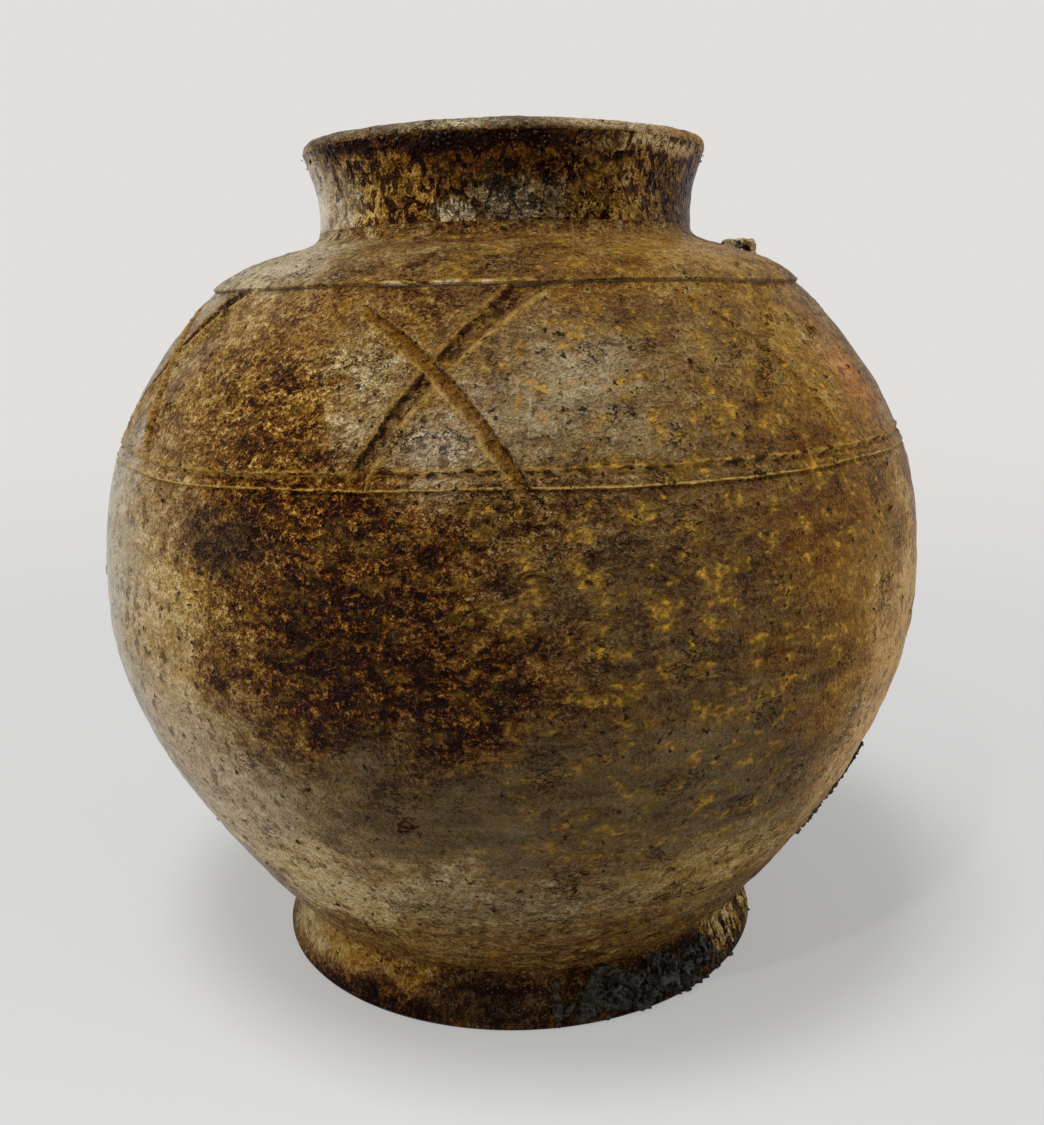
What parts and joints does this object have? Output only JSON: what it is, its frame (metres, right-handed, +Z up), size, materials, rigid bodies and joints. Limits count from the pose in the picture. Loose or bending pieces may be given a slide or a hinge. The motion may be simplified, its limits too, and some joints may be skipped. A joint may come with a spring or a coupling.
{
  "type": "martaban storage jar",
  "caption": "Round-bellied stoneware storage jar with a flared foot ring, short wide neck, rolled lip, incised lines and crosses and a small cord lug on the shoulder.",
  "frame": {"origin": "on the jar's axis, on the surface it stands on", "axes": "+Z up along the jar's axis, -Y towards the front with the clearest cross, +X to the right of it"},
  "size_m": [0.3, 0.3, 0.298],
  "materials": {
    "ash_glaze": "natural ash glaze over iron-rich stoneware, speckled amber and olive over dark brown, satin to glossy, fine orange-peel surface",
    "neck_glaze": "glossy tortoiseshell ash glaze, amber runs over black-brown",
    "foot_glaze": "glossy amber and black-brown glaze, black towards the lower edge",
    "lip_clay": "dry purple-grey stoneware with rust and ash, matte",
    "bare_clay": "bare fired stoneware with throwing rings, matte",
    "kiln_crust": "rough black ash and charcoal crust, matte with glassy specks"
  },
  "bodies": {
    "root": {"foot_ring": "foot_glaze", "base_disc": "bare_clay", "lower_belly": "ash_glaze", "upper_belly": "ash_glaze", "shoulder_cap": "ash_glaze", "neck_collar": "neck_glaze", "rim_coil": "lip_clay", "base_seam_coil": "bare_clay", "belly_seam_coil": "bare_clay", "shoulder_seam_coil": "bare_clay", "neck_seam_coil": "ash_glaze", "shoulder_lug": "ash_glaze", "foot_crust": "kiln_crust", "neck_crust": "kiln_crust", "belly_crumbs": "kiln_crust"}
  },
  "joints": []
}
